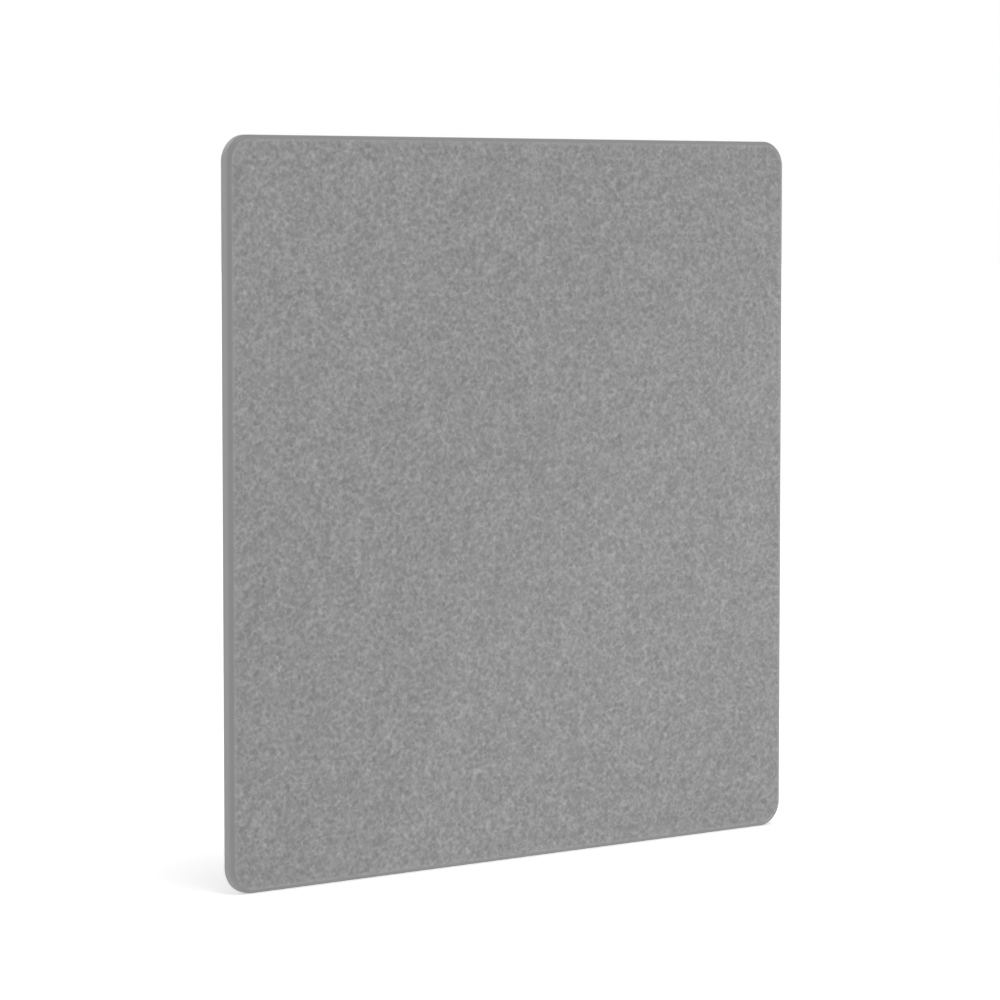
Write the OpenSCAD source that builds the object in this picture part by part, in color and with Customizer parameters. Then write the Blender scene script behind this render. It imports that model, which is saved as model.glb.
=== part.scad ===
// Upholstered acoustic divider screen: one square panel with rounded corners and a smooth
// rounded edge strip. A wooden frame carries a hardboard septum with an absorber slab on each
// side of it. Wadding and a fabric cover lie over both faces. The covers turn round the frame's
// edge, where staples hold them, and the strip's barbed tongue closes the edge.
//
// The panel is drawn lying flat, with X along its width, Y up its height and Z towards its
// front, and upright() stands it on its bottom edge with the front facing -Y. A depth is
// counted inwards from the panel's outline, and at() gives its place in a section.

/* [Panel] */
// Overall width
panel_w = 1400; // [800:50:2000]
// Overall height
panel_h = 1400; // [800:50:2000]
// Overall thickness, from the front fabric to the back fabric
panel_t = 30; // [28:1:40]
// Radius of the four corners, seen from the front
corner_r = 50; // [40:5:120]

/* [Edge strip] */
// Rounding of the strip's front and back edges
edge_round_r = 10; // [8:0.5:12]
// Depth at which the strip ends and the fabric starts
strip_lip = 7; // [5:0.25:7.5]
// Depth of the hollow behind the strip, which clears the staples
strip_relief = 1.5; // [1:0.25:2.5]
// Width of the band by which each lip presses on the fabric
strip_land = 2; // [1:0.25:2.5]
// Gap at the butt joint in the middle of the bottom edge
strip_joint = 0.4; // [0.2:0.1:1]
// Thickness of the tongue between its barbs
tongue_t = 2; // [1.4:0.1:2.2]
// Length of the tongue inside the frame
tongue_l = 11; // [8:0.5:11.5]
// Distance from one barb to the next
barb_pitch = 2.2; // [1.6:0.1:3]

/* [Frame] */
// Width of the rails, stiles and corner blocks
rail_w = 60; // [50:1:70]
// Straight length of a corner block past its rounded corner
block_lead = 67.5; // [60:0.5:90]
// Radius of the frame opening's corners
opening_r = 25; // [10:1:30]
// Width of the kerf that holds the tongue
kerf_w = 3; // [2.6:0.1:3.6]
// Depth of the kerf
kerf_depth = 12; // [11.5:0.5:14]

/* [Dowels] */
// Diameter of a dowel
dowel_d = 8; // [6:1:10]
// Length of a dowel
dowel_l = 40; // [30:2:50]
// Distance between the two dowels of a joint
dowel_gap = 22; // [16:1:24]
// Chamfer at a dowel's ends
dowel_chamfer = 1; // [0.5:0.25:2]

/* [Filling] */
// Thickness of the hardboard septum
septum_t = 3; // [2.5:0.1:4]
// Depth of the septum's edge in the frame's groove
septum_tuck = 5.5; // [4:0.5:8]
// Thickness of the wadding on each face
wadding_t = 3; // [3:0.25:5]

/* [Fabric cover] */
// Thickness of the fabric
fabric_t = 1; // [0.6:0.1:1.2]
// Radius of the cover's rolled rim, on its outside
roll_r = 2.5; // [2:0.25:2.75]

/* [Staples] */
// Largest distance between staples along an edge
staple_pitch = 80; // [40:5:120]
// Length of a staple's crown
crown_l = 10; // [6:1:12]
// Width of the flat staple wire
wire_w = 1.2; // [0.8:0.1:1.4]
// Thickness of the flat staple wire
wire_t = 0.6; // [0.4:0.1:0.8]
// Length of the legs inside the wood
leg_bite = 9; // [6:1:12]
// Number of staples round each corner
corner_staples = 3; // [2:1:4]

/* [Foot fixings] */
// Distance of each foot's centre from the end of the bottom rail
foot_inset = 82.5; // [70:2.5:150]
// Distance between the two inserts of a foot
foot_pitch = 64; // [40:4:96]
// Outer diameter of a threaded insert
insert_d = 10; // [8:1:11]
// Length of a threaded insert
insert_l = 15; // [12:1:25]
// Diameter of the insert's threaded bore
thread_d = 5; // [4:0.1:6]
// Width of the driving slot across the insert's mouth
slot_w = 1.6; // [1:0.1:2.5]
// Depth of the driving slot
slot_depth = 2.5; // [1:0.5:4]

/* [Hidden] */
$fn = 96;
// Clearances between pieces that fit into each other
tongue_play = 0.05;
dowel_play = 0.1;
dowel_end_play = 1;
septum_play = 0.1;
septum_edge_play = 0.5;
filling_play = 0.3;
leg_play = 0.05;
insert_play = 0.05;
insert_end_play = 1;
strip_hole_play = 0.5;
// The fabric is trimmed this far from the strip's holes
trim_margin = 0.5;
// How far the cutting shapes run past what they cut
overrun = 2;

half_t = panel_t / 2;
frame_depth = strip_lip + fabric_t;
frame_t = panel_t - 2 * (fabric_t + wadding_t);
run_w = panel_w - 2 * corner_r;
run_h = panel_h - 2 * corner_r;
roll_z = half_t - roll_r;
strip_flat = panel_t - 2 * edge_round_r;
strip_base = strip_lip - strip_relief;
barb_count = floor((tongue_l + strip_relief) / barb_pitch) - 1;
groove_floor = frame_depth + rail_w - septum_tuck - septum_edge_play;
dowel_depth = (frame_depth + kerf_depth + groove_floor) / 2;
absorber_t = (frame_t - septum_t) / 2;
strip_hole_d = insert_d + 2 * strip_hole_play;
trim_z = strip_hole_d / 2 + trim_margin;
staple_z = trim_z + (roll_z - strip_land - trim_z) / 2;

// The sides, anticlockwise. A corner goes by the side that runs up to it that way round, so
// "right" is also the top right corner.
SIDES = ["right", "top", "left", "bottom"];

STRIP_GREY = [0.55, 0.55, 0.55];
FABRIC_GREY = [0.58, 0.58, 0.58];
WADDING_WHITE = [0.9, 0.9, 0.88];
ABSORBER_GREY = [0.75, 0.76, 0.77];
HARDBOARD_BROWN = [0.45, 0.32, 0.2];
PINE = [0.87, 0.73, 0.52];
PLYWOOD = [0.8, 0.66, 0.46];
BEECH = [0.76, 0.58, 0.38];
STEEL = [0.72, 0.72, 0.74];

// Place of a depth in a section, whose X runs outwards from the middle of the corner radius
function at(depth) = corner_r - depth;

// Quarter turns from the right side to a side, and the side that follows it
function turns(side) = search([side], SIDES)[0];
function side_after(side) = SIDES[(turns(side) + 1) % len(SIDES)];

// Length of the straight run of a side, and its distance from the middle of the panel
function is_upright(side) = turns(side) % 2 == 0;
function run(side) = is_upright(side) ? run_h : run_w;
function reach(side) = is_upright(side) ? run_w / 2 : run_h / 2;

// Length of the rail or stile between two corner blocks
function bar_l(side) = run(side) - 2 * block_lead;

// Number of staples along a straight run
function staple_count(side) = ceil(run(side) / staple_pitch);

module upright() {
    translate([0, 0, panel_h / 2])
        rotate([90, 0, 0])
            children();
}

// Places for a side's pieces: X runs outwards from the side, and Y along it
module on_side(side) {
    rotate([0, 0, 90 * turns(side)])
        translate([reach(side), 0, 0])
            children();
}

// Places for a corner's pieces: the origin is the middle of the corner radius
module on_corner(corner) {
    rotate([0, 0, 90 * turns(corner)])
        translate([reach(corner), run(corner) / 2, 0])
            children();
}

// Sweeps a section all round the panel, straight along the sides and turned at the corners
module round_panel() {
    for (side = SIDES) {
        on_side(side)
            rotate([90, 0, 0])
                linear_extrude(height = run(side), center = true)
                    children();
        on_corner(side)
            rotate_extrude(angle = 90)
                children();
    }
}

module rounded_rectangle(w, h, r) {
    square([w, h - 2 * r], center = true);
    square([w - 2 * r, h], center = true);
    for (x = [-1, 1], y = [-1, 1])
        translate([x * (w / 2 - r), y * (h / 2 - r)])
            circle(r);
}

// Outline of the panel at a depth
module panel_outline(depth) {
    rounded_rectangle(panel_w - 2 * depth, panel_h - 2 * depth, corner_r - depth);
}

// Outline of the frame's opening, grown by a margin
module opening_outline(margin) {
    inset = frame_depth + rail_w - margin;
    rounded_rectangle(panel_w - 2 * inset, panel_h - 2 * inset, opening_r + margin);
}

module quarter_disc(r) {
    intersection() {
        circle(r);
        square(r);
    }
}

// Edge strip

module strip_cap_section() {
    difference() {
        intersection() {
            union() {
                for (face = [-1, 1])
                    translate([at(edge_round_r), face * strip_flat / 2])
                        circle(edge_round_r);
                translate([at(edge_round_r), -strip_flat / 2])
                    square([edge_round_r, strip_flat]);
            }
            translate([at(strip_lip), -half_t])
                square([strip_lip, panel_t]);
        }
        translate([at(strip_lip), -(roll_z - strip_land)])
            square([strip_relief, 2 * (roll_z - strip_land)]);
    }
}

// A barb is square towards the cap and slopes down towards the tongue's tip
module barb_section(depth) {
    barb_z = kerf_w / 2 - tongue_play;
    polygon([
        [at(depth), -barb_z],
        [at(depth), barb_z],
        [at(depth + barb_pitch), tongue_t / 2],
        [at(depth + barb_pitch), -tongue_t / 2]
    ]);
}

module strip_tongue_section() {
    tip = frame_depth + tongue_l;
    translate([at(tip), -tongue_t / 2])
        square([tip - strip_base, tongue_t]);
    for (i = [1 : barb_count])
        barb_section(tip - i * barb_pitch);
}

module edge_strip() {
    color(STRIP_GREY)
        upright()
            difference() {
                round_panel() {
                    strip_cap_section();
                    strip_tongue_section();
                }
                translate([-strip_joint / 2, -panel_h / 2 - overrun, -half_t - overrun])
                    cube([strip_joint, corner_r, panel_t + 2 * overrun]);
                at_inserts()
                    translate([0, 0, -frame_depth - overrun])
                        cylinder(h = frame_depth + tongue_l + 2 * overrun, d = strip_hole_d);
            }
}

// Fabric covers and wadding

module cover_rim_section() {
    translate([at(frame_depth), trim_z])
        square([fabric_t, roll_z - trim_z]);
    translate([at(strip_lip + roll_r), roll_z])
        difference() {
            quarter_disc(roll_r);
            circle(roll_r - fabric_t);
        }
}

module fabric_cover() {
    difference() {
        union() {
            translate([0, 0, half_t - fabric_t])
                linear_extrude(height = fabric_t)
                    panel_outline(strip_lip + roll_r);
            round_panel()
                cover_rim_section();
        }
        at_staples()
            staple_legs(leg_play);
    }
}

module wadding_rim_section() {
    rim_r = roll_r - fabric_t;
    rim_z = roll_z - frame_t / 2;
    translate([at(frame_depth + rim_r), frame_t / 2])
        square([rim_r, rim_z]);
    translate([at(frame_depth + rim_r), roll_z])
        quarter_disc(rim_r);
}

module wadding() {
    translate([0, 0, frame_t / 2])
        linear_extrude(height = wadding_t)
            panel_outline(strip_lip + roll_r);
    round_panel()
        wadding_rim_section();
}

module front_fabric() {
    color(FABRIC_GREY)
        upright()
            fabric_cover();
}

module back_fabric() {
    color(FABRIC_GREY)
        upright()
            mirror([0, 0, 1])
                fabric_cover();
}

module front_wadding() {
    color(WADDING_WHITE)
        upright()
            wadding();
}

module back_wadding() {
    color(WADDING_WHITE)
        upright()
            mirror([0, 0, 1])
                wadding();
}

// Absorber slabs and septum

module absorber() {
    translate([0, 0, septum_t / 2])
        linear_extrude(height = absorber_t)
            opening_outline(-filling_play);
}

module front_absorber() {
    color(ABSORBER_GREY)
        upright()
            absorber();
}

module back_absorber() {
    color(ABSORBER_GREY)
        upright()
            mirror([0, 0, 1])
                absorber();
}

module septum_board() {
    color(HARDBOARD_BROWN)
        upright()
            linear_extrude(height = septum_t, center = true)
                opening_outline(septum_tuck);
}

module septum_groove() {
    linear_extrude(height = septum_t + 2 * septum_play, center = true)
        opening_outline(septum_tuck + septum_edge_play);
}

// Wooden frame

module kerf_section() {
    translate([at(frame_depth + kerf_depth), -kerf_w / 2])
        square([kerf_depth + overrun, kerf_w]);
}

module frame_bar(side) {
    difference() {
        on_side(side)
            translate([at(frame_depth + rail_w), -bar_l(side) / 2, -frame_t / 2])
                cube([rail_w, bar_l(side), frame_t]);
        on_side(side)
            rotate([90, 0, 0])
                linear_extrude(height = run(side), center = true)
                    kerf_section();
        septum_groove();
        side_dowels(side)
            dowel_hole();
        for (face = [0, 1])
            mirror([0, 0, face])
                side_staples(side)
                    staple_legs(leg_play);
        if (side == "bottom")
            at_inserts()
                insert_hole();
    }
}

module corner_block(corner) {
    block_l = corner_r - frame_depth + block_lead;
    difference() {
        linear_extrude(height = frame_t, center = true)
            intersection() {
                difference() {
                    panel_outline(frame_depth);
                    opening_outline(0);
                }
                on_corner(corner)
                    translate([-block_lead, -block_lead])
                        square(block_l);
            }
        round_panel()
            kerf_section();
        septum_groove();
        for (side = [corner, side_after(corner)])
            side_dowels(side)
                dowel_hole();
        for (face = [0, 1])
            mirror([0, 0, face]) {
                corner_staple_places(corner)
                    staple_legs(leg_play);
                for (side = [corner, side_after(corner)])
                    side_staples(side)
                        staple_legs(leg_play);
            }
    }
}

module top_rail() {
    color(PINE)
        upright()
            frame_bar("top");
}

module bottom_rail() {
    color(PINE)
        upright()
            frame_bar("bottom");
}

module left_stile() {
    color(PINE)
        upright()
            frame_bar("left");
}

module right_stile() {
    color(PINE)
        upright()
            frame_bar("right");
}

module top_right_corner_block() {
    color(PLYWOOD)
        upright()
            corner_block("right");
}

module top_left_corner_block() {
    color(PLYWOOD)
        upright()
            corner_block("top");
}

module bottom_left_corner_block() {
    color(PLYWOOD)
        upright()
            corner_block("left");
}

module bottom_right_corner_block() {
    color(PLYWOOD)
        upright()
            corner_block("bottom");
}

// Dowels, two across each joint between a rail or stile and a corner block

module side_dowels(side) {
    for (end = [-1, 1], row = [-1, 1])
        on_side(side)
            translate([at(dowel_depth + row * dowel_gap / 2), end * bar_l(side) / 2, 0])
                rotate([90, 0, 0])
                    children();
}

module dowel() {
    shank_l = dowel_l - 2 * dowel_chamfer;
    cylinder(h = shank_l, d = dowel_d, center = true);
    for (end = [0, 1])
        mirror([0, 0, end])
            translate([0, 0, shank_l / 2])
                cylinder(h = dowel_chamfer, d1 = dowel_d, d2 = dowel_d - 2 * dowel_chamfer);
}

module dowel_hole() {
    cylinder(h = dowel_l + 2 * dowel_end_play, d = dowel_d + 2 * dowel_play, center = true);
}

module frame_dowels() {
    color(BEECH)
        upright()
            for (side = SIDES)
                side_dowels(side)
                    dowel();
}

// Staples, which hold the turned edge of a cover to the frame's edge

module side_staples(side) {
    count = staple_count(side);
    for (i = [0 : count - 1])
        on_side(side)
            translate([at(strip_lip), run(side) * ((i + 0.5) / count - 0.5), staple_z])
                children();
}

module corner_staple_places(corner) {
    for (i = [0 : corner_staples - 1])
        on_corner(corner)
            rotate([0, 0, 90 * (i + 0.5) / corner_staples])
                translate([at(strip_lip), 0, staple_z])
                    children();
}

module at_staples() {
    for (side = SIDES) {
        side_staples(side)
            children();
        corner_staple_places(side)
            children();
    }
}

module staple_legs(play) {
    leg_l = fabric_t + leg_bite + play;
    for (end = [-1, 1])
        translate([wire_t / 2 - leg_l / 2, end * (crown_l - wire_t) / 2, 0])
            cube([leg_l + wire_t, wire_t + 2 * play, wire_w + 2 * play], center = true);
}

module staple() {
    translate([0, -crown_l / 2, -wire_w / 2])
        cube([wire_t, crown_l, wire_w]);
    staple_legs(0);
}

module front_staples() {
    color(STEEL)
        upright()
            at_staples()
                staple();
}

module back_staples() {
    color(STEEL)
        upright()
            mirror([0, 0, 1])
                at_staples()
                    staple();
}

// Threaded inserts in the bottom rail, two for each foot

module at_inserts() {
    for (foot = [-1, 1], end = [-1, 1])
        translate([
            foot * (bar_l("bottom") / 2 - foot_inset) + end * foot_pitch / 2,
            frame_depth - panel_h / 2,
            0
        ])
            rotate([-90, 0, 0])
                children();
}

module insert_hole() {
    translate([0, 0, -overrun])
        cylinder(h = insert_l + insert_end_play + overrun, d = insert_d + 2 * insert_play);
}

module threaded_insert() {
    difference() {
        cylinder(h = insert_l, d = insert_d);
        translate([0, 0, -overrun])
            cylinder(h = insert_l + 2 * overrun, d = thread_d);
        translate([-insert_d / 2 - overrun, -slot_w / 2, -overrun])
            cube([insert_d + 2 * overrun, slot_w, slot_depth + overrun]);
    }
}

module foot_inserts() {
    color(STEEL)
        upright()
            at_inserts()
                threaded_insert();
}

edge_strip();
front_fabric();
back_fabric();
front_wadding();
back_wadding();
front_absorber();
back_absorber();
septum_board();
top_rail();
bottom_rail();
left_stile();
right_stile();
top_right_corner_block();
top_left_corner_block();
bottom_left_corner_block();
bottom_right_corner_block();
frame_dowels();
foot_inserts();
front_staples();
back_staples();
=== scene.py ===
"""Looks of the upholstered acoustic divider screen: felt covers with a rolled rim, a smooth edge
strip, the timber and filling inside, soft studio light and the camera."""

import math

import bmesh
import bpy
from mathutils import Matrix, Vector, noise


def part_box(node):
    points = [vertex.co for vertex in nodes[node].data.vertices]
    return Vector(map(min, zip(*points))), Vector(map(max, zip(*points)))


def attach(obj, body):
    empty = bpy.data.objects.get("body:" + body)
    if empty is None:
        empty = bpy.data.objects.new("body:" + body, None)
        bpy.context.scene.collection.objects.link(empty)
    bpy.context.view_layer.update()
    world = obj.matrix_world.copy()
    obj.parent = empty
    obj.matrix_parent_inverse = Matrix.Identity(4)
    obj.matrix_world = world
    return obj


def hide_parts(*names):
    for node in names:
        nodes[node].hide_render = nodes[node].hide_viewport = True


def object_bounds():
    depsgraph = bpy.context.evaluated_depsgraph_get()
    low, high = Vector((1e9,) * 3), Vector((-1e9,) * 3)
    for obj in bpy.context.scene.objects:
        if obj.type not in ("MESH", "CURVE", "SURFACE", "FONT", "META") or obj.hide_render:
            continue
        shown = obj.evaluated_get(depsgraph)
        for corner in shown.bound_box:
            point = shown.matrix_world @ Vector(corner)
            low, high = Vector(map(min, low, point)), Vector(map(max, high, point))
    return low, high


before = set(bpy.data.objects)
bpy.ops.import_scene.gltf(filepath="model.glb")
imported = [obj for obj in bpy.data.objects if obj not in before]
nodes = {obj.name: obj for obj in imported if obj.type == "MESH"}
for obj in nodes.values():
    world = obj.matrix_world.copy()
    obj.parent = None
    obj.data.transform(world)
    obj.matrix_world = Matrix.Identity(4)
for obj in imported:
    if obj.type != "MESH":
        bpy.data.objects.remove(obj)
cad_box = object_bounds()

# Covers, wadding and slabs. All sizes are in metres, and the outlines follow the boxes of the CAD
# nodes that the pieces replace.
CORNER_R = 0.050
FABRIC_T = 0.001
PROUD = 0.0007  # how far a cover's face stands out from its CAD node
RIM_RUN = 0.008  # width of a cover's rolled rim
RIM_DROP = 0.0013  # how far the rim falls back over that width
SLAB_EDGE_R = 0.0012
SLAB_WAVE = 0.0003
SLAB_CORNER_R = 0.0247
GRID_CELL = 0.020
CORNER_STEPS = 12
RIM_STEPS = 10
SLAB_EDGE_STEPS = 5
CROWN = 0.0008  # how far a cover swells in its middle
CROWN_RUN = 0.10  # distance from the rim in which it reaches that
WAVE = 0.00015
WAVE_LENGTH = 0.12
SOFT_SINK = 0.0001  # how far the wadding stays back from the cover

# Dowels
DOWEL_R = 0.004
DOWEL_L = 0.040
DOWEL_CHAMFER = 0.001
DOWEL_FLUTE = 0.0003
DOWEL_FLUTES = 16
FLUTE_STEPS = 4
DOWEL_GAP = 0.022
DOWEL_DEPTH = 0.041  # depth of a joint's middle from the panel's outline
JOINT_DEPTH = 0.1175  # distance of a joint from the end of its side

# Threaded inserts
INSERT_R = 0.005
INSERT_ROOT_R = 0.0045
INSERT_PITCH = 0.0025
BORE_R = 0.0025
BORE_ROOT_R = 0.0028
BORE_PITCH = 0.001
THREAD_CREST = 0.4  # a thread's crest and its flank, as shares of the pitch
THREAD_FLANK = 0.2
INSERT_SLOT_W = 0.0016
INSERT_SLOT_DEPTH = 0.0025
INSERT_STEP = 0.00025
INSERT_ARC_STEPS = 21  # steps round an insert from one side of its slot to the other
FOOT_X = 0.5
FOOT_PITCH = 0.064

# Edge strip
STRIP_WELD = 0.000002
STRIP_REFINES = 2
STRIP_TURN_DEG = 1.0  # smallest turn round a corner that is halved
STRIP_SHARP_DEG = 25.0

# Camera
CAMERA_PLACE = (-5.127, -6.065, 1.268)
CAMERA_TURN_DEG = (85.734, 0.0, -40.004)
CAMERA_LENS_MM = 147.53
CAMERA_SENSOR_MM = 36.0
CAMERA_SHIFT = (-0.00225, 0.01257)
CAMERA_FAR = 200.0

# Light: a sun has a name, an azimuth, an elevation and a power
WORLD_LIGHT = 0.320
BACKGROUND = 1.0
WHITE = (1, 1, 1, 1)
FLOOR_GREY = 0.9
FLOOR_GLOW = 0.40  # the floor's own light as the camera sees it
FLOOR_BOUNCE = 0.32  # and as it falls on the object
FLOOR_HALF = 60.0
SUN_DISTANCE = 10.0
SUN_ANGLE_DEG = 25.0
SUNS = [
    ("right_light", -36, 5, 0.95),
    ("left_light", 120, 10, 0.79),
    ("top_light", 0, 75, 1.05),
    ("back_light", 180, 25, 0.60),
]
BEAM_EDGE = (0.000, 0.784)  # a point on the beam's edge, and the way into the light
BEAM_WAY = (0.67, -0.74)
BEAM_REACH = 3.0
BEAM_DISTANCE = 6.0
BEAM_POWER = 115.0
BEAM_BLEND = 0.13
BEAM_SIZE = 0.3

# Felt: each layer's first turn and the step to the next in degrees, how many ways it lies, and how
# tightly it repeats along three axes
FELT_GREY = 0.279
LIGHT_STRANDS = (20, 90, 2, (115, 90, 75))
DARK_STRANDS = (65, 90, 2, (105, 90, 70))
FLECKS = (50, 40, 3, (150, 110, 70))
FUZZ = (35, 60, 3, (1800, 1200, 300))
LIGHT_WIDTH, LIGHT_WEIGHT = 0.32, 1.25
DARK_WIDTH, DARK_WEIGHT = 0.4, -0.6
STRAND_SIDES = -0.35  # value beside a strand, whose crest is 1
FUZZ_CURL = 0.8
STROKE_SHARE = 0.107
FUZZ_SHARE = 0.11
MOTTLE_SHARE = 0.12
CLOUD_SHARE = 0.035
CLUMPS = (0.7, 1.3)  # least and most strength of the strokes, from clump to clump
CLUMP_REACH = 0.6  # noise value at which a clump is strongest
CLUMP_SCALE = 52.0  # how tightly the clumps, the mottle and the clouds repeat
MOTTLE_SCALE = 36.0
CLOUD_SCALE = 9.0
FELT_DEEPEST = -0.25
FELT_SOFTENING = 0.25
RIM_PAINTED_SHEEN = 0.13  # painted sheen: how much lighter the rolled rim is painted, and how much of the mottle it keeps
RIM_CALM = 0.35
RIM_SHEEN_SHARES = (0.1, 0.7)  # how far out the rim's painted sheen starts, and where it is strongest

# Other colours, dark and light, as linear values
STRIP_GREY = 0.262
STRIP_SHADES = (0.965, 1.035)
WADDING = ((0.70, 0.70, 0.68), (0.84, 0.84, 0.82))
ABSORBER = ((0.34, 0.35, 0.36), (0.63, 0.64, 0.65))
HARDBOARD = ((0.075, 0.035, 0.015), (0.17, 0.09, 0.045))
PLYWOOD = ((0.36, 0.22, 0.11), (0.66, 0.48, 0.29))
BEECH = ((0.44, 0.27, 0.15), (0.60, 0.41, 0.25))
PINE = ((0.46, 0.27, 0.12), (0.72, 0.50, 0.27))
ZINC = ((0.52, 0.52, 0.54), (0.68, 0.69, 0.71))

# Roughness, from the least to the most
STRIP_ROUGHNESS = (0.45, 0.56)
TIMBER_ROUGHNESS = (0.5, 0.7)
ZINC_ROUGHNESS = (0.25, 0.5)

# Relief: how deep it is, and how strongly it shows
FELT_RELIEF = (0.0002, 0.5)
STRIP_RELIEF = (0.00003, 0.4)
TIMBER_RELIEF = (0.0001, 0.5)
PLYWOOD_RELIEF = (0.0001, 0.4)
HARDBOARD_RELIEF = (0.0001, 0.5)
FIBRE_RELIEF = (0.0006, 0.6)
CURL_RELIEF = 0.3  # share of the felt's strands in its relief

# Wood, fibre and metal: how tightly the pattern repeats along each axis
ALONG_X = (3, 90, 60)
ALONG_Z = (60, 90, 3)
DOWEL_STRETCH = (60, 500, 500)
PLY_PAIR = 0.0030  # thickness of two plies
PLY_ALONG_X = ((12, 400, 160), (50, 900, 1100))  # a veneer's figure and its pores
PLY_ALONG_Z = ((160, 400, 12), (1100, 900, 50))
HARDBOARD_STRETCH = (300, 300, 900)
SCRATCH_STRETCH = (3000, 3000, 400)

# Timber: the rings' phase over the noise's range and what a bend adds to it, in radians, how much
# the rings curl, and how tightly the bend and the pores repeat
RING_PHASE = 26.0
BEND_PHASE = 3.0
RING_CURL = 0.8
BEND_SCALE = 0.25
PORE_SCALE = 9.0

# Fibres: the hardboard's turn in radians, how many layers of hair there are, the tilt from one to
# the next in radians, the first one's turn and the step to the next, and a hair's slimness
HARDBOARD_TURN = 0.4
HAIR_LAYERS = 3
HAIR_TILT = 0.3
HAIR_FIRST_DEG = 15
HAIR_STEP_DEG = 60
HAIR_SLIMNESS = 9


# Materials


def add_node(tree, kind, inputs=None, **settings):
    """A new node with its settings, and its inputs given as values or as sockets to link from."""
    node = tree.nodes.new(kind)
    for name, value in settings.items():
        setattr(node, name, value)
    for name, value in (inputs or {}).items():
        if isinstance(value, bpy.types.NodeSocket):
            tree.links.new(value, node.inputs[name])
        else:
            node.inputs[name].default_value = value
    return node


def maths(tree, operation, *values):
    """The result of a Math node on values or sockets."""
    inputs = dict(enumerate(values))
    return add_node(tree, "ShaderNodeMath", inputs, operation=operation).outputs[0]


def scaled(tree, value, low, high, to_low, to_high):
    """A value carried from one range to another."""
    inputs = {"Value": value, "From Min": low, "From Max": high}
    inputs.update({"To Min": to_low, "To Max": to_high})
    return add_node(tree, "ShaderNodeMapRange", inputs).outputs["Result"]


def object_place(tree, turn=(0, 0, 0), scale=(1, 1, 1)):
    """The place on the object, in metres, turned and then stretched."""
    place = add_node(tree, "ShaderNodeTexCoord").outputs["Object"]
    turned = add_node(tree, "ShaderNodeMapping", {"Vector": place, "Rotation": turn})
    inputs = {"Vector": turned.outputs[0], "Scale": scale}
    return add_node(tree, "ShaderNodeMapping", inputs).outputs[0]


def lying_ways(tree, first_deg, step_deg, count, stretch):
    """Places for fibres that lie several ways in the panel's plane, one place for each way."""
    turns = [math.radians(first_deg + step_deg * way) for way in range(count)]
    return [object_place(tree, (0, turn, 0), stretch) for turn in turns]


def grain(tree, place, scale, detail=0.0, roughness=0.5, curl=0.0):
    """Noise about zero, from -1 to 1, at a place."""
    inputs = {"Vector": place, "Scale": scale, "Detail": detail, "Roughness": roughness}
    inputs["Distortion"] = curl
    value = add_node(tree, "ShaderNodeTexNoise", inputs).outputs["Fac"]
    return scaled(tree, value, 0, 1, -1, 1)


def strands(tree, ways, width, weight):
    """Thin curving lines that lie several ways, each way with its weight. They are the zero lines
    of a noise, bright on their crest."""
    layers = []
    for place in lying_ways(tree, *ways):
        crest = maths(tree, "ABSOLUTE", grain(tree, place, 1.0))
        layers.append((scaled(tree, crest, 0, width, 1, STRAND_SIDES), weight))
    return layers


def total(tree, *parts):
    """The sum of values, each with its weight."""
    result = None
    for value, weight in parts:
        term = maths(tree, "MULTIPLY", value, weight)
        result = term if result is None else maths(tree, "ADD", result, term)
    return result


def crossed_grain(tree, ways, curl=0.0):
    """The sum of noises that are drawn out in several ways."""
    places = lying_ways(tree, *ways)
    return total(tree, *[(grain(tree, place, 1.0, curl=curl), 1.0) for place in places])


def tinted(tree, value, shades, reach):
    """A colour between a dark and a light shade, by where a value lies from -reach to reach."""
    share = scaled(tree, value, -reach, reach, 0, 1)
    ramp = add_node(tree, "ShaderNodeMix", {"Factor": share}, data_type="RGBA")
    for socket, shade in zip(("A", "B"), shades):
        ramp.inputs[socket].default_value = (*shade, 1)
    return ramp.outputs["Result"]


def material(name, roughness=0.6, **sockets):
    """A new material, its node tree and its shader, with the shader's sockets set by name."""
    made = bpy.data.materials.new(name)
    made.use_nodes = True
    shader = made.node_tree.nodes["Principled BSDF"]
    shader.inputs["Roughness"].default_value = roughness
    for socket, value in sockets.items():
        shader.inputs[socket.replace("_", " ")].default_value = value
    return made, made.node_tree, shader


def bumped(tree, shader, height, depth, strength):
    """Gives the shader a relief of that depth in metres."""
    inputs = {"Height": height, "Distance": depth, "Strength": strength}
    relief = add_node(tree, "ShaderNodeBump", inputs)
    tree.links.new(relief.outputs["Normal"], shader.inputs["Normal"])


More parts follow.
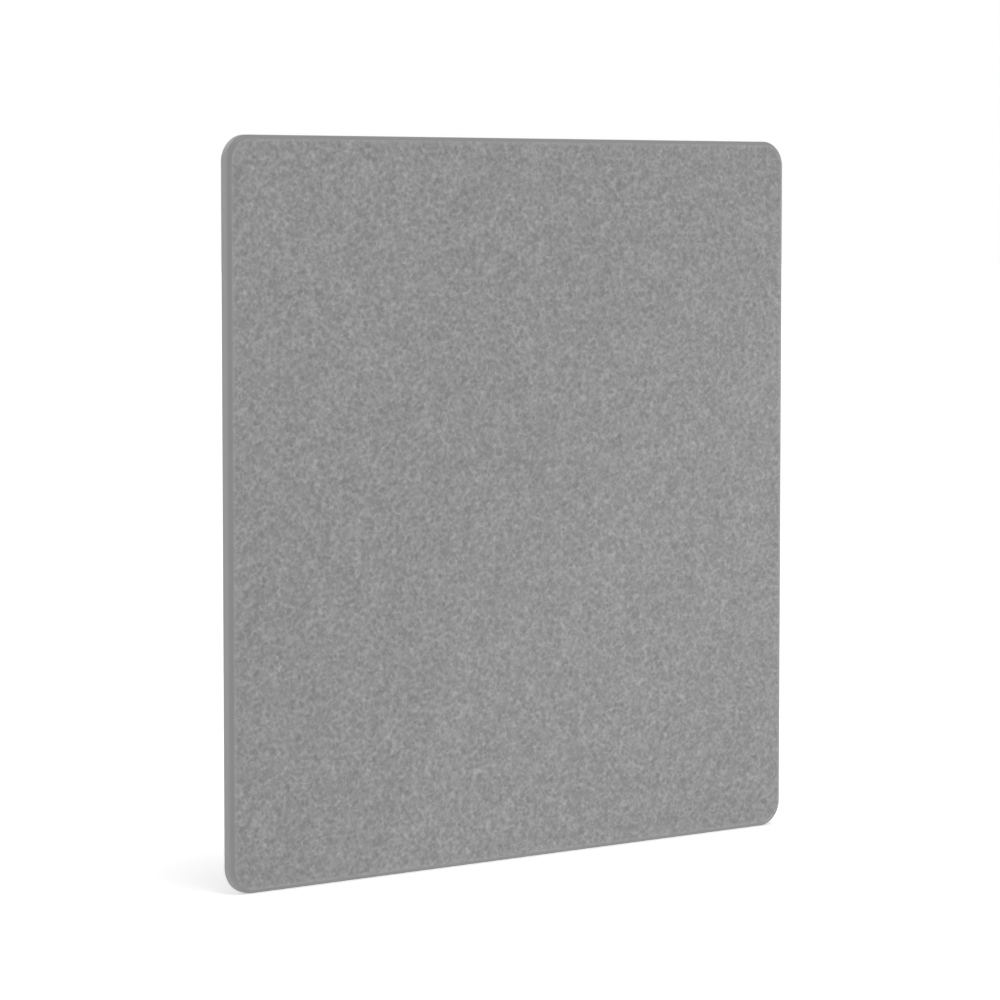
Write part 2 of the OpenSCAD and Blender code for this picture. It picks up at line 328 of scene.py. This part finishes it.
def felt():
    """Pressed wool felt: short fibres that lie every way, light and dark ones mixed."""
    made, tree, shader = material(
        "grey_felt", roughness=0.95, Sheen_Weight=0.25, Sheen_Roughness=0.4
    )
    light = strands(tree, LIGHT_STRANDS, LIGHT_WIDTH, LIGHT_WEIGHT)
    dark = strands(tree, DARK_STRANDS, DARK_WIDTH, DARK_WEIGHT)
    curls = total(tree, *light, *dark)
    flecks = crossed_grain(tree, FLECKS)
    fuzz = crossed_grain(tree, FUZZ, curl=FUZZ_CURL)
    plain = object_place(tree)
    mottle = grain(tree, plain, MOTTLE_SCALE, detail=1.0, roughness=0.7)
    clouds = grain(tree, plain, CLOUD_SCALE, detail=1.0)
    clump = grain(tree, plain, CLUMP_SCALE)
    strength = scaled(tree, clump, -CLUMP_REACH, CLUMP_REACH, *CLUMPS)
    strokes = total(tree, (curls, STROKE_SHARE), (flecks, STROKE_SHARE))
    strokes = maths(tree, "MULTIPLY", strokes, strength)
    shares = (fuzz, FUZZ_SHARE), (mottle, MOTTLE_SHARE), (clouds, CLOUD_SHARE)
    mixed = maths(tree, "ADD", strokes, total(tree, *shares))
    soft = maths(tree, "SMOOTH_MAX", mixed, FELT_DEEPEST, FELT_SOFTENING)
    grey = felt_grey(tree, soft)
    inputs = {"Red": grey, "Green": grey, "Blue": grey}
    colour = add_node(tree, "ShaderNodeCombineColor", inputs).outputs[0]
    tree.links.new(colour, shader.inputs["Base Color"])
    bumped(tree, shader, total(tree, (curls, CURL_RELIEF), (fuzz, 1.0)), *FELT_RELIEF)
    return made


def felt_grey(tree, mottle):
    """The felt's grey with its mottle, which is calmer on the rolled rim and painted lighter there
    as a sheen.
    """
    rim = add_node(tree, "ShaderNodeAttribute", attribute_name="rim").outputs["Fac"]
    calm = scaled(tree, rim, 0, 1, 1, RIM_CALM)
    # painted sheen: the rolled rim's grey is raised, as if its fibres caught the light
    painted_sheen = scaled(tree, rim, *RIM_SHEEN_SHARES, 1, 1 + RIM_PAINTED_SHEEN)
    share = maths(tree, "MULTIPLY", mottle, calm)
    return maths(tree, "MULTIPLY", maths(tree, "MULTIPLY_ADD", share, painted_sheen, painted_sheen), FELT_GREY)


def satin_plastic():
    """Smooth grey moulding with a faint drag from the die and a fine matt skin."""
    made, tree, shader = material("satin_grey_plastic", IOR=1.46)
    skin = grain(tree, object_place(tree), scale=900.0, detail=2.0)
    drift = grain(tree, object_place(tree), scale=14.0, detail=2.0)
    value = total(tree, (skin, 0.5), (drift, 0.5))
    shades = [(STRIP_GREY * shade,) * 3 for shade in STRIP_SHADES]
    tree.links.new(tinted(tree, value, shades, reach=0.5), shader.inputs["Base Color"])
    tree.links.new(scaled(tree, drift, -1, 1, *STRIP_ROUGHNESS), shader.inputs["Roughness"])
    bumped(tree, shader, skin, *STRIP_RELIEF)
    return made


def timber(name, stretch, shades):
    """Planed wood, with its grain along the axis on which it repeats least."""
    made, tree, shader = material(name)
    place = object_place(tree, scale=stretch)
    bend = grain(tree, place, BEND_SCALE, detail=2.0)
    inputs = {"Vector": place, "Scale": 1.0, "Detail": 3.0, "Distortion": RING_CURL}
    rings = add_node(tree, "ShaderNodeTexNoise", inputs).outputs["Fac"]
    bands = maths(tree, "SINE", total(tree, (rings, RING_PHASE), (bend, BEND_PHASE)))
    pores = grain(tree, place, PORE_SCALE, detail=2.0)
    value = total(tree, (bands, 0.5), (pores, 0.35))
    tree.links.new(tinted(tree, value, shades, reach=0.7), shader.inputs["Base Color"])
    tree.links.new(scaled(tree, value, -1, 1, *TIMBER_ROUGHNESS), shader.inputs["Roughness"])
    bumped(tree, shader, value, *TIMBER_RELIEF)
    return made


def plywood():
    """Birch plywood, whose plies lie in the panel's plane and run along X and Z by turns."""
    made, tree, shader = material("birch_plywood")
    place = object_place(tree)
    across = add_node(tree, "ShaderNodeSeparateXYZ", {"Vector": place}).outputs["Y"]
    ply = maths(tree, "SINE", maths(tree, "MULTIPLY", across, 2 * math.pi / PLY_PAIR))
    veneers = []
    for broad, fine in (PLY_ALONG_X, PLY_ALONG_Z):
        figure = grain(tree, object_place(tree, scale=broad), scale=1.0, detail=3.0)
        pores = grain(tree, object_place(tree, scale=fine), scale=1.0, detail=1.0)
        veneers.append(total(tree, (figure, 0.8), (pores, 0.55)))
    inputs = {"Factor": maths(tree, "GREATER_THAN", ply, 0.0), "A": veneers[0], "B": veneers[1]}
    veneer = add_node(tree, "ShaderNodeMix", inputs).outputs["Result"]
    value = total(tree, (veneer, 0.5), (maths(tree, "SIGN", ply), 0.35))
    tree.links.new(tinted(tree, value, PLYWOOD, reach=0.6), shader.inputs["Base Color"])
    bumped(tree, shader, value, *PLYWOOD_RELIEF)
    return made


def hardboard():
    """Brown pressed fibre board."""
    made, tree, shader = material("brown_hardboard", roughness=0.55)
    place = object_place(tree, (0, HARDBOARD_TURN, 0), HARDBOARD_STRETCH)
    fibres = grain(tree, place, scale=1.0, detail=3.0)
    cloud = grain(tree, object_place(tree), scale=12.0, detail=3.0)
    value = total(tree, (fibres, 0.6), (cloud, 0.5))
    tree.links.new(tinted(tree, value, HARDBOARD, reach=0.6), shader.inputs["Base Color"])
    bumped(tree, shader, fibres, *HARDBOARD_RELIEF)
    return made


def fibre_fill(name, shades, scale):
    """Polyester fibre: fine crossing strands in a slab."""
    made, tree, shader = material(name, roughness=0.9, Sheen_Weight=0.3, Sheen_Roughness=0.5)
    hairs = []
    across = HAIR_SLIMNESS * scale
    for step in range(HAIR_LAYERS):
        turn = (HAIR_TILT * step, math.radians(HAIR_STEP_DEG * step + HAIR_FIRST_DEG), 0)
        place = object_place(tree, turn, (across, across, scale))
        hairs.append((grain(tree, place, scale=1.0), 1.0))
    hair = total(tree, *hairs)
    cloud = grain(tree, object_place(tree), scale=35.0, detail=3.0)
    value = total(tree, (hair, 0.5), (cloud, 0.5))
    tree.links.new(tinted(tree, value, shades, reach=0.6), shader.inputs["Base Color"])
    bumped(tree, shader, value, *FIBRE_RELIEF)
    return made


def steel():
    """Zinc-plated steel with fine scratches."""
    made, tree, shader = material("zinc_plated_steel", Metallic=1.0)
    place = object_place(tree, scale=SCRATCH_STRETCH)
    scratches = grain(tree, place, scale=1.0, detail=2.0)
    patches = grain(tree, object_place(tree), scale=300.0, detail=2.0)
    value = total(tree, (scratches, 0.5), (patches, 0.5))
    tree.links.new(tinted(tree, value, ZINC, reach=0.5), shader.inputs["Base Color"])
    tree.links.new(scaled(tree, value, -1, 1, *ZINC_ROUGHNESS), shader.inputs["Roughness"])
    return made


# Meshes


def mesh_object(name, verts, faces, finish, smooth=True):
    """A mesh object from points and faces, with its material."""
    mesh = bpy.data.meshes.new(name)
    mesh.from_pydata(verts, [], faces)
    mesh.polygons.foreach_set("use_smooth", [smooth] * len(mesh.polygons))
    mesh.materials.append(finish)
    mesh.update()
    made = bpy.data.objects.new(name, mesh)
    bpy.context.scene.collection.objects.link(made)
    return made


def face_lines(low, high, corner):
    """Places of a face's grid lines: even steps, and over the corners steps that turn evenly."""
    shares = [
        1 - math.sqrt(2) * math.sin(math.pi / 4 * (1 - step / CORNER_STEPS))
        for step in range(CORNER_STEPS)
    ]
    run = high - low - 2 * corner
    count = round(run / GRID_CELL)
    start = [low + corner * share for share in shares]
    middle = [low + corner + run * step / count for step in range(count + 1)]
    end = [high - corner * share for share in reversed(shares)]
    return start + middle + end


class Face:
    """A rounded rectangle in the panel's plane, filled by a grid that follows its corners."""

    def __init__(self, low, high, corner):
        self.low, self.high, self.corner = low, high, corner
        self.x = face_lines(low[0], high[0], corner)
        self.z = face_lines(low[1], high[1], corner)
        self.points = [self.bent(x, z) for z in self.z for x in self.x]
        columns, rows = len(self.x), len(self.z)
        self.cells = [
            (row * columns + column, (row + 1) * columns + column)
            for row in range(rows - 1)
            for column in range(columns - 1)
        ]
        bottom = list(range(columns))
        right = [row * columns + columns - 1 for row in range(1, rows)]
        top = [(rows - 1) * columns + column for column in range(columns - 2, -1, -1)]
        left = [row * columns for row in range(rows - 2, 0, -1)]
        self.rim = bottom + right + top + left

    def nearest(self, x, z):
        """The nearest point of the rectangle that runs through the corners' centres."""
        corner = self.corner
        return (
            min(max(x, self.low[0] + corner), self.high[0] - corner),
            min(max(z, self.low[1] + corner), self.high[1] - corner),
        )

    def bent(self, x, z):
        """A grid point, moved so that each square corner of the grid is a quarter disc."""
        centre_x, centre_z = self.nearest(x, z)
        across, up = (x - centre_x) / self.corner, (z - centre_z) / self.corner
        return (
            centre_x + self.corner * across * math.sqrt(1 - up * up / 2),
            centre_z + self.corner * up * math.sqrt(1 - across * across / 2),
        )

    def outward(self, x, z):
        """The direction out of the outline at one of its points."""
        centre_x, centre_z = self.nearest(x, z)
        return Vector((x - centre_x, z - centre_z)).normalized()

    def depth(self, x, z):
        """How far a point lies inside the outline."""
        sides = zip(self.low, self.high)
        half_w, half_h = ((high - low) / 2 - self.corner for low, high in sides)
        past_x = abs(x - (self.low[0] + self.high[0]) / 2) - half_w
        past_z = abs(z - (self.low[1] + self.high[1]) / 2) - half_h
        reach = math.hypot(max(past_x, 0), max(past_z, 0))
        return self.corner - reach - min(max(past_x, past_z), 0)


def swell(face, x, z):
    """How far a stretched cover stands proud at a point: a slight crown with shallow waves."""
    share = min(face.depth(x, z) / CROWN_RUN, 1)
    wave = noise.noise(Vector((x, 0, z)) / WAVE_LENGTH)
    return share * (2 - share) * (CROWN + WAVE * wave)


def panel_mesh(name, face, side, outer, rings, inner, finish):
    """A closed slab over a face: outer and inner give the places of its two sides along Y, and
    rings the steps round its edge, each a distance outwards and a place along Y."""
    flat = len(face.points)
    verts = [(x, outer(x, z), z) for x, z in face.points]
    verts += [(x, inner(x, z), z) for x, z in face.points]
    for out, y in rings:
        for index in face.rim:
            x, z = face.points[index]
            normal = face.outward(x, z)
            verts.append((x + normal.x * out, y, z + normal.y * out))
    faces = []
    for low, high in face.cells:
        quad = (low, low + 1, high + 1, high)
        faces.append(quad)
        faces.append(tuple(flat + index for index in reversed(quad)))
    count = len(face.rim)
    loops = [face.rim]
    loops += [[2 * flat + ring * count + i for i in range(count)] for ring in range(len(rings))]
    loops.append([flat + index for index in face.rim])
    for first, second in zip(loops, loops[1:]):
        for i in range(count):
            after = (i + 1) % count
            faces.append((first[i], second[i], second[after], first[after]))
    if side > 0:
        faces = [tuple(reversed(ring)) for ring in faces]
    return mesh_object(name, verts, faces, finish)


def shoulder(width, drop, steps):
    """Steps down a quarter ellipse, each a distance outwards and a distance back."""
    turns = [math.pi / 2 * step / steps for step in range(1, steps + 1)]
    return [(width * math.sin(turn), drop * (1 - math.cos(turn))) for turn in turns]


def outline_of(box, inset):
    """The low and high corner of a node's box in the panel's plane, moved in by an inset."""
    low, high = box
    return (low.x + inset, low.z + inset), (high.x - inset, high.z - inset)


def sides_of(box, side):
    """The outer and the inner place of a box along Y, on the panel's front, -1, or back, 1."""
    low, high = box
    return (low.y, high.y) if side < 0 else (high.y, low.y)


def cover_face(node):
    """The face of a cover inside its rolled rim. Its corners share their centres with the
    strip's."""
    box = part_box(node)
    lip = box[0].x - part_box("edge_strip")[0].x
    return Face(*outline_of(box, RIM_RUN), CORNER_R - lip - RIM_RUN)


def cover_rings(front, end, side):
    """Steps round a cover's edge: down its rolled rim, along the flange and back up inside."""
    inner_run = RIM_RUN - FABRIC_T
    middle = (front + end) / 2
    inside = front - side * FABRIC_T
    rings = [(out, front - side * drop) for out, drop in shoulder(RIM_RUN, RIM_DROP, RIM_STEPS)]
    rings += [(RIM_RUN, middle), (RIM_RUN, end), (inner_run, end), (inner_run, middle)]
    steps = shoulder(inner_run, RIM_DROP, RIM_STEPS)
    rings += [(out, inside - side * drop) for out, drop in reversed(steps)]
    return rings


def mark_rim(made, face, rings):
    """Notes at each point how far out on the rolled rim it lies, from 0 to 1."""
    rim = made.data.attributes.new("rim", "FLOAT", "POINT")
    values = [0.0] * (2 * len(face.points))
    for out, _ in rings:
        values += [out / RIM_RUN] * len(face.rim)
    rim.data.foreach_set("value", values)


def fabric_cover(name, node, side, finish):
    """A felt cover: its face, its soft rim and the flange that turns in behind the strip."""
    front, end = sides_of(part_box(node), side)
    flange = abs(front - end)
    front += side * PROUD
    face = cover_face(node)
    rings = cover_rings(front, end, side)

    def outer(x, z):
        return front + side * swell(face, x, z)

    def inner(x, z):
        return outer(x, z) - side * FABRIC_T

    made = panel_mesh(name, face, side, outer, rings, inner, finish)
    mark_rim(made, face, rings)
    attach(made, "root")
    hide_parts(node)
    cover_cut(face, flange)
    cover_area(face, flange)


def cover_cut(face, flange):
    """Width and height of a cover before it was turned round the edge."""
    turned = 2 * (RIM_RUN + flange)
    return tuple(high - low + turned for low, high in zip(face.low, face.high))


def cover_area(face, flange):
    """Flat area of a cover, whose corners are cut round."""
    width, height = cover_cut(face, flange)
    corner = face.corner + RIM_RUN + flange
    return width * height - (4 - math.pi) * corner * corner


def wadding_layer(name, node, cover_node, side, finish):
    """The thin wadding under a cover, with the same crown and the same soft shoulder."""
    face = cover_face(cover_node)
    front, back = sides_of(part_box(node), side)
    front += side * (PROUD - SOFT_SINK)
    width = RIM_RUN - FABRIC_T - SOFT_SINK
    rings = [(out, front - side * drop) for out, drop in shoulder(width, RIM_DROP, RIM_STEPS)]
    rings += [(width, (front + back) / 2), (width, back)]

    def outer(x, z):
        return front + side * swell(face, x, z)

    made = panel_mesh(name, face, side, outer, rings, lambda x, z: back, finish)
    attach(made, "root")
    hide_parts(node)


def absorber_slab(name, node, side, finish):
    """A slab of fibre absorber with eased edges and a slightly uneven outer side."""
    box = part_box(node)
    front, back = sides_of(box, side)
    face = Face(*outline_of(box, SLAB_EDGE_R), SLAB_CORNER_R - SLAB_EDGE_R)
    ease = shoulder(SLAB_EDGE_R, SLAB_EDGE_R, SLAB_EDGE_STEPS)
    rings = [(out, front - side * drop) for out, drop in ease]
    rings += [(out, back + side * drop) for out, drop in reversed(ease)]

    def outer(x, z):
        share = min(face.depth(x, z) / CROWN_RUN, 1)
        wave = noise.noise(Vector((x, side, z)) / WAVE_LENGTH)
        return front - side * share * SLAB_WAVE * (1 + wave)

    made = panel_mesh(name, face, side, outer, rings, lambda x, z: back, finish)
    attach(made, "root")
    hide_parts(node)


def ring_tube(rings):
    """Points and faces of a closed bar through rings of points, each with the same count."""
    count = len(rings[0])
    verts = [point for ring in rings for point in ring]
    faces = [tuple(reversed(range(count)))]
    for ring in range(len(rings) - 1):
        low, high = ring * count, (ring + 1) * count
        for i in range(count):
            after = (i + 1) % count
            faces.append((low + i, low + after, high + after, high + i))
    last = (len(rings) - 1) * count
    faces.append(tuple(range(last, last + count)))
    return verts, faces


def dowel_rings():
    """Rings along a fluted dowel about its middle, as points of two cross places and a length."""
    half = DOWEL_L / 2
    steps = [
        (-half, -DOWEL_CHAMFER),
        (-half + DOWEL_CHAMFER, 0),
        (half - DOWEL_CHAMFER, 0),
        (half, -DOWEL_CHAMFER),
    ]
    count = DOWEL_FLUTES * FLUTE_STEPS
    rings = []
    for along, shift in steps:
        ring = []
        for i in range(count):
            turn = 2 * math.pi * i / count
            radius = DOWEL_R + shift - DOWEL_FLUTE * (1 - math.cos(DOWEL_FLUTES * turn)) / 2
            ring.append((radius * math.cos(turn), radius * math.sin(turn), along))
        rings.append(ring)
    return rings


def joined(shapes):
    """The points and faces of several shapes together."""
    verts, faces = [], []
    for shape_verts, shape_faces in shapes:
        start = len(verts)
        verts += shape_verts
        faces += [tuple(start + index for index in face) for face in shape_faces]
    return verts, faces


def dowel_places():
    """Each dowel's middle, and whether it lies along X."""
    low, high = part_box("edge_strip")
    joint_x = high.x - JOINT_DEPTH
    places = []
    for sign in (-1, 1):
        for gap in (-DOWEL_GAP / 2, DOWEL_GAP / 2):
            depth = DOWEL_DEPTH + gap
            for z in (low.z + JOINT_DEPTH, high.z - JOINT_DEPTH):
                places.append(((sign * (high.x - depth), 0, z), False))
            for z in (low.z + depth, high.z - depth):
                places.append(((sign * joint_x, 0, z), True))
    return places


def fluted_dowels(finish):
    """All the dowels of the frame's joints."""
    rings = dowel_rings()
    shapes = []
    for middle, lies_x in dowel_places():
        placed = []
        for ring in rings:
            points = []
            for a, b, along in ring:
                shift = (along, a, b) if lies_x else (a, b, along)
                points.append(tuple(m + s for m, s in zip(middle, shift)))
            placed.append(points)
        shapes.append(ring_tube(placed))
    made = mesh_object("fluted_dowels", *joined(shapes), finish, smooth=False)
    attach(made, "root")
    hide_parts("frame_dowels")


def thread_share(turn, along, pitch):
    """Where a thread of that pitch stands between root, 0, and crest, 1."""
    phase = (along / pitch - turn / (2 * math.pi)) % 1
    share = (THREAD_CREST / 2 + THREAD_FLANK - abs(phase - 0.5)) / THREAD_FLANK
    return max(0.0, min(1.0, share))


def insert_turns():
    """The insert's columns: the angle outside, the angle in the bore, and whether the driving slot
    cuts the column's mouth away. The slot's sides are exact columns."""
    outer = math.asin(INSERT_SLOT_W / 2 / INSERT_R)
    bore = math.asin(INSERT_SLOT_W / 2 / BORE_R)
    turns = []
    for half in (0, math.pi):
        turns += [(half - outer, half - bore, True), (half, half, True)]
        for step in range(INSERT_ARC_STEPS):
            share = step / INSERT_ARC_STEPS
            outside = half + outer + (math.pi - 2 * outer) * share
            inside = half + bore + (math.pi - 2 * bore) * share
            turns.append((outside, inside, False))
    return turns


def insert_points(x, mouth, turns, rows):
    """The points of an insert's outside and then of its bore, row by row from the mouth."""
    points = []
    walls = ((0, INSERT_ROOT_R, INSERT_R, INSERT_PITCH), (1, BORE_ROOT_R, BORE_R, BORE_PITCH))
    for wall, root, crest, pitch in walls:
        for row in range(rows):
            along = row * INSERT_STEP
            for column in turns:
                turn = column[wall]
                radius = root + (crest - root) * thread_share(turn, along, pitch)
                across = radius * math.cos(turn), radius * math.sin(turn)
                points.append((x + across[0], across[1], mouth + along))
    return points


def insert_faces(turns, rows, slot_rows):
    """The faces between an insert's columns, with its driving slot left out of the mouth."""
    count = len(turns)
    wall = rows * count
    faces = []
    for i in range(count):
        after = (i + 1) % count
        first = slot_rows if turns[i][2] else 0
        for row in range(first, rows - 1):
            low, high = row * count, (row + 1) * count
            quad = (low + i, low + after, high + after, high + i)
            faces.append(quad)
            faces.append(tuple(wall + index for index in reversed(quad)))
        low, high = first * count, (rows - 1) * count
        faces.append((wall + low + i, wall + low + after, low + after, low + i))
        faces.append((high + i, high + after, wall + high + after, wall + high + i))
        if turns[i][2] != turns[i - 1][2]:
            for row in range(slot_rows):
                low, high = row * count + i, (row + 1) * count + i
                quad = (wall + low, low, high, wall + high)
                faces.append(tuple(reversed(quad)) if turns[i][2] else quad)
    return faces


def threaded_insert(x, mouth, top):
    """Points and faces of one insert with its outer thread, its threaded bore and driving slot."""
    turns = insert_turns()
    rows = round((top - mouth) / INSERT_STEP) + 1
    points = insert_points(x, mouth, turns, rows)
    faces = insert_faces(turns, rows, round(INSERT_SLOT_DEPTH / INSERT_STEP))
    used = sorted({index for face in faces for index in face})
    spot = {index: place for place, index in enumerate(used)}
    kept = [points[index] for index in used]
    return kept, [tuple(spot[index] for index in face) for face in faces]


def foot_inserts(finish):
    """The threaded inserts that take the feet's screws, two for each foot."""
    low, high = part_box("foot_inserts")
    shapes = []
    for foot in (-FOOT_X, FOOT_X):
        for side in (-1, 1):
            shapes.append(threaded_insert(foot + side * FOOT_PITCH / 2, low.z, high.z))
    made = mesh_object("threaded_inserts", *joined(shapes), finish, smooth=False)
    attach(made, "root")
    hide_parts("foot_inserts")


def corner_centre(point, low, high):
    """The centre of the strip's corner that a point lies in, or None along a straight run."""
    centre = []
    for axis in (0, 2):
        start, end = low[axis] + CORNER_R, high[axis] - CORNER_R
        if start + STRIP_WELD < point[axis] < end - STRIP_WELD:
            return None
        centre.append(start if point[axis] < (start + end) / 2 else end)
    return centre


def arc_middle(first, second, low, high):
    """The point half way round the corner between two points, or None if both are on one ray."""
    centre = corner_centre(first, low, high)
    if centre is None or centre != corner_centre(second, low, high):
        return None
    rays = [Vector((point.x - centre[0], point.z - centre[1])) for point in (first, second)]
    if rays[0].angle(rays[1]) < math.radians(STRIP_TURN_DEG):
        return None
    radius = (rays[0].length + rays[1].length) / 2
    ray = (rays[0].normalized() + rays[1].normalized()).normalized() * radius
    return Vector((centre[0] + ray.x, (first.y + second.y) / 2, centre[1] + ray.y))


def rounder(points, triangles, low, high):
    """The same surface, with the steps round its corners half as long."""
    points = list(points)
    count = len(points)
    middles = {}
    made = []
    for triangle in triangles:
        ring = []
        for i, corner in enumerate(triangle):
            pair = tuple(sorted((corner, triangle[(i + 1) % 3])))
            if pair not in middles:
                middle = arc_middle(points[pair[0]], points[pair[1]], low, high)
                middles[pair] = None if middle is None else len(points)
                if middle is not None:
                    points.append(middle)
            ring.append(corner)
            if middles[pair] is not None:
                ring.append(middles[pair])
        first = next((i for i, corner in enumerate(ring) if corner >= count), 0)
        ring = ring[first:] + ring[:first]
        made += [(ring[0], ring[i], ring[i + 1]) for i in range(1, len(ring) - 1)]
    return points, made


def edge_moulding(finish):
    """The edge strip, with rounder corners than the CAD node's triangles give it."""
    welded = bmesh.new()
    welded.from_mesh(nodes["edge_strip"].data)
    bmesh.ops.remove_doubles(welded, verts=welded.verts, dist=STRIP_WELD)
    place = nodes["edge_strip"].matrix_world
    points = [place @ vert.co for vert in welded.verts]
    triangles = [tuple(vert.index for vert in face.verts) for face in welded.faces]
    welded.free()
    low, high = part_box("edge_strip")
    for _ in range(STRIP_REFINES):
        points, triangles = rounder(points, triangles, low, high)
    made = mesh_object("edge_moulding", points, triangles, finish)
    made.data.set_sharp_from_angle(angle=math.radians(STRIP_SHARP_DEG))
    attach(made, "root")
    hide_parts("edge_strip")


def finish_node(name, finish):
    """Gives a CAD node its material."""
    nodes[name].data.materials.clear()
    nodes[name].data.materials.append(finish)


felt_finish = felt()
wadding_finish = fibre_fill("white_wadding", WADDING, scale=900)
absorber_finish = fibre_fill("grey_absorber", ABSORBER, scale=500)
for side, name in ((-1, "front"), (1, "back")):
    fabric_cover(f"{name}_cover", f"{name}_fabric", side, felt_finish)
    wadding_layer(f"{name}_layer", f"{name}_wadding", f"{name}_fabric", side, wadding_finish)
    absorber_slab(f"{name}_slab", f"{name}_absorber", side, absorber_finish)

steel_finish = steel()
fluted_dowels(timber("beech_dowel", DOWEL_STRETCH, BEECH))
foot_inserts(steel_finish)
edge_moulding(satin_plastic())
finish_node("septum_board", hardboard())
lying_pine = timber("pine_along_x", ALONG_X, PINE)
standing_pine = timber("pine_along_z", ALONG_Z, PINE)
for end in ("top", "bottom"):
    finish_node(f"{end}_rail", lying_pine)
ply = plywood()
for hand in ("left", "right"):
    finish_node(f"{hand}_stile", standing_pine)
    for end in ("top", "bottom"):
        finish_node(f"{end}_{hand}_corner_block", ply)
for face_name in ("front", "back"):
    finish_node(f"{face_name}_staples", steel_finish)


# Floor, light and camera


def white_rays(tree):
    """1 where the camera, a mirror or a glass looks straight at the surface."""
    path = add_node(tree, "ShaderNodeLightPath").outputs
    seen = maths(tree, "ADD", path["Is Camera Ray"], path["Is Glossy Ray"])
    return maths(tree, "MINIMUM", maths(tree, "ADD", seen, path["Is Transmission Ray"]), 1.0)


def make_world():
    """White to the camera and in mirrors, and a plain grey light on everything else."""
    world = bpy.data.worlds.new("studio")
    world.use_nodes = True
    bpy.context.scene.world = world
    tree = world.node_tree
    strength = scaled(tree, white_rays(tree), 0, 1, WORLD_LIGHT, BACKGROUND)
    tree.links.new(strength, tree.nodes["Background"].inputs["Strength"])
    tree.nodes["Background"].inputs["Color"].default_value = WHITE


def make_floor():
    """A white floor that gives light back to the object, and is clear when seen from below."""
    finish, tree, shader = material("white_floor", roughness=0.9)
    shader.inputs["Base Color"].default_value = (FLOOR_GREY, FLOOR_GREY, FLOOR_GREY, 1)
    shader.inputs["Emission Color"].default_value = WHITE
    glow = scaled(tree, white_rays(tree), 0, 1, FLOOR_BOUNCE, FLOOR_GLOW)
    tree.links.new(glow, shader.inputs["Emission Strength"])
    clear = add_node(tree, "ShaderNodeBsdfTransparent").outputs["BSDF"]
    seen_below = add_node(tree, "ShaderNodeNewGeometry").outputs["Backfacing"]
    mixed = add_node(tree, "ShaderNodeMixShader", {"Fac": seen_below})
    tree.links.new(shader.outputs["BSDF"], mixed.inputs[1])
    tree.links.new(clear, mixed.inputs[2])
    tree.links.new(mixed.outputs[0], tree.nodes["Material Output"].inputs["Surface"])
    low, high = -FLOOR_HALF, FLOOR_HALF
    corners = [(low, low, 0), (high, low, 0), (high, high, 0), (low, high, 0)]
    floor = mesh_object("floor", corners, [(0, 1, 2, 3)], finish, smooth=False)


def lamp(name, kind, place, target, power, **settings):
    """A lamp of a kind, aimed at a target."""
    light = bpy.data.lights.new(name, kind)
    light.energy = power
    for setting, value in settings.items():
        setattr(light, setting, value)
    made = bpy.data.objects.new(name, light)
    made.location = place
    made.rotation_euler = (Vector(target) - Vector(place)).to_track_quat("-Z", "Y").to_euler()
    bpy.context.scene.collection.objects.link(made)


def round_place(azimuth_deg, elevation_deg, distance, centre):
    """A place round the panel: azimuth 0 is in front of it, and 90 to its left."""
    azimuth, elevation = math.radians(azimuth_deg), math.radians(elevation_deg)
    flat = math.cos(elevation)
    way = Vector((-math.sin(azimuth) * flat, -math.cos(azimuth) * flat, math.sin(elevation)))
    return Vector(centre) + distance * way


def make_lamps():
    """Broad lamps round the object, and a soft-edged beam over the front's lower right part."""
    middle = (cad_box[0] + cad_box[1]) / 2
    for name, azimuth, elevation, power in SUNS:
        place = round_place(azimuth, elevation, SUN_DISTANCE, middle)
        lamp(name, "SUN", place, middle, power, angle=math.radians(SUN_ANGLE_DEG))
    across = Vector((BEAM_REACH * BEAM_WAY[0], 0, BEAM_REACH * BEAM_WAY[1]))
    edge = Vector((BEAM_EDGE[0], 0, BEAM_EDGE[1]))
    place = edge + Vector((0, -BEAM_DISTANCE, 0))
    half = math.atan2(BEAM_REACH, BEAM_DISTANCE)
    lamp(
        "low_beam",
        "SPOT",
        place,
        edge + across,
        BEAM_POWER,
        spot_size=2 * half,
        spot_blend=BEAM_BLEND,
        shadow_soft_size=BEAM_SIZE,
    )


def make_camera():
    """A long lens that looks at the front from its left, a little from above."""
    lens = bpy.data.cameras.new("camera")
    lens.lens = CAMERA_LENS_MM
    lens.sensor_width = CAMERA_SENSOR_MM
    lens.shift_x, lens.shift_y = CAMERA_SHIFT
    lens.clip_end = CAMERA_FAR
    camera = bpy.data.objects.new("camera", lens)
    camera.location = CAMERA_PLACE
    camera.rotation_euler = [math.radians(turn) for turn in CAMERA_TURN_DEG]
    bpy.context.scene.collection.objects.link(camera)
    bpy.context.scene.camera = camera


make_world()
make_floor()
make_camera()
make_lamps()
bpy.context.scene.view_settings.view_transform = "Standard"
